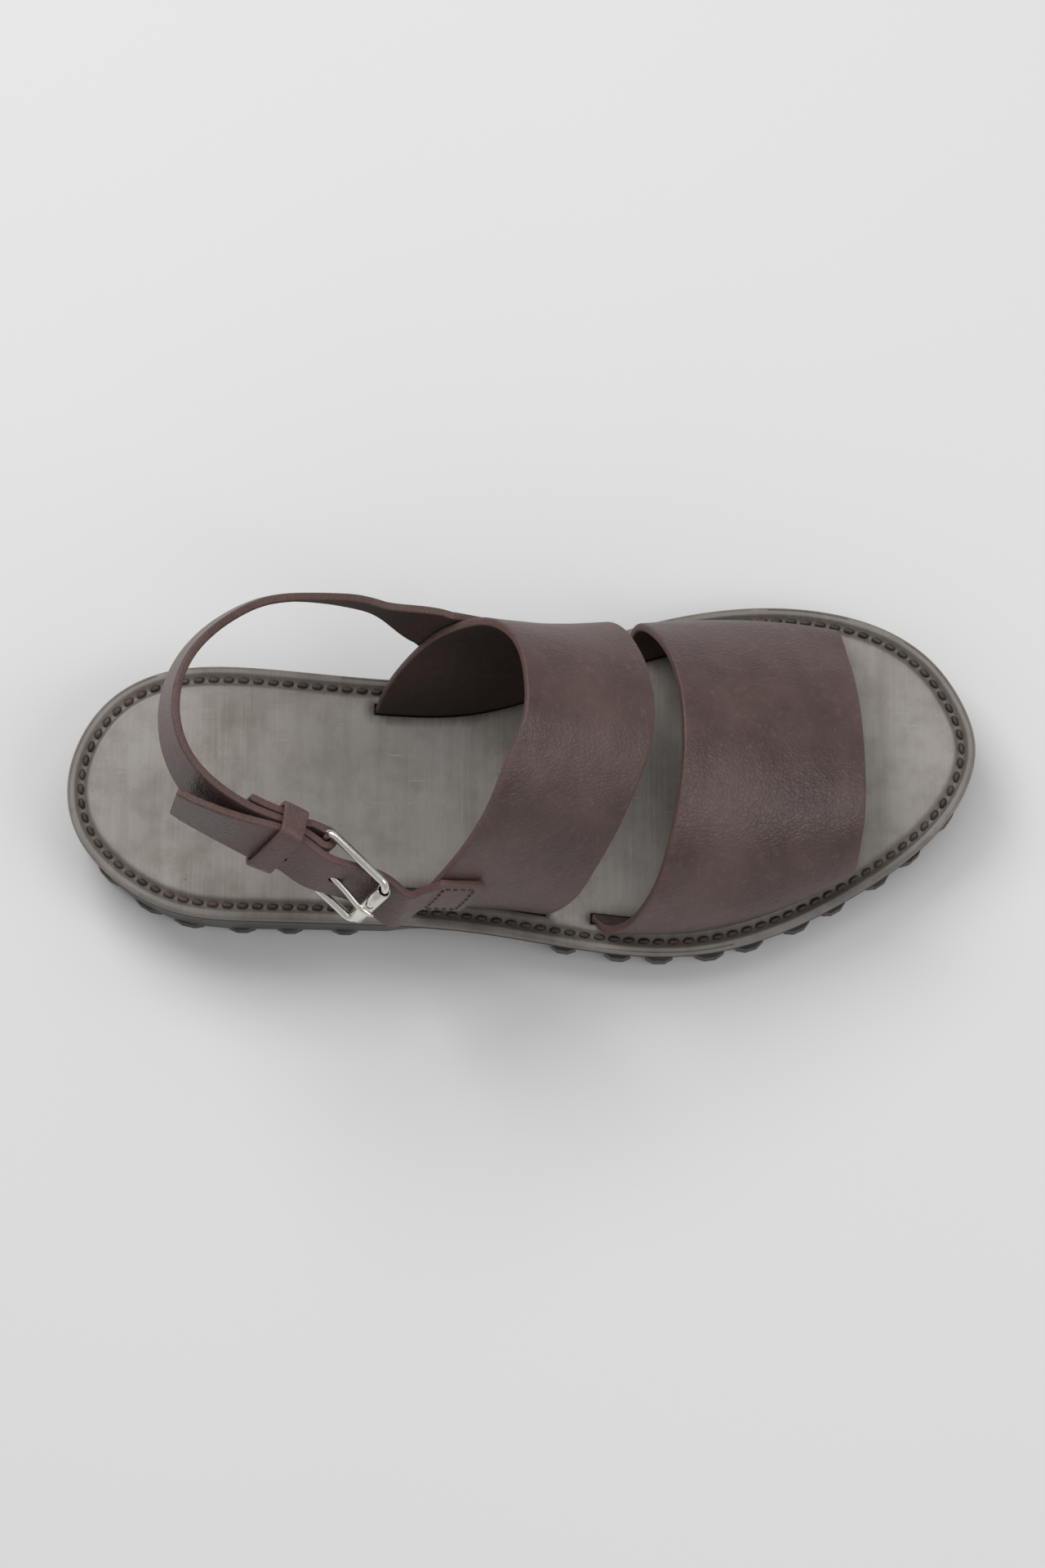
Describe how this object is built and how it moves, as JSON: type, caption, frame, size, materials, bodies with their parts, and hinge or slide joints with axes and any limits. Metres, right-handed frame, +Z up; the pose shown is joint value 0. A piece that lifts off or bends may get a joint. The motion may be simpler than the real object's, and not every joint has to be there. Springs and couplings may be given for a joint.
{
  "type": "leather sandal",
  "caption": "Right-foot leather sandal: two wide slotted straps, a buckled heel strap and a stitched leather footbed on a thick lugged rubber sole.",
  "frame": {"origin": "middle of the footprint's bounding box, on the ground under the heel and forefoot lugs", "axes": "+X to the toe, +Y to the medial (big toe) side of this right shoe, +Z up"},
  "size_m": [0.2898, 0.1142, 0.1078],
  "materials": {
    "sole_rubber": "matt charcoal moulded rubber, smooth walls, scuffed lug faces",
    "footbed_leather": "grey-brown veg-tanned leather, brushed across, half gloss, dark stitched channel round the rim",
    "strap_leather": "dark chocolate leather with a soft sheen, fine grain, raw brown cut edges and a dark suede inside",
    "buckle_metal": "polished nickel plate"
  },
  "bodies": {
    "root": {"outsole": "sole_rubber", "footbed": "footbed_leather", "front_strap": "strap_leather", "instep_strap": "strap_leather", "heel_strap": "strap_leather", "buckle_strap": "strap_leather", "keeper": "strap_leather", "buckle_frame": "buckle_metal", "buckle_roller": "buckle_metal", "buckle_prong": "buckle_metal"}
  },
  "joints": []
}
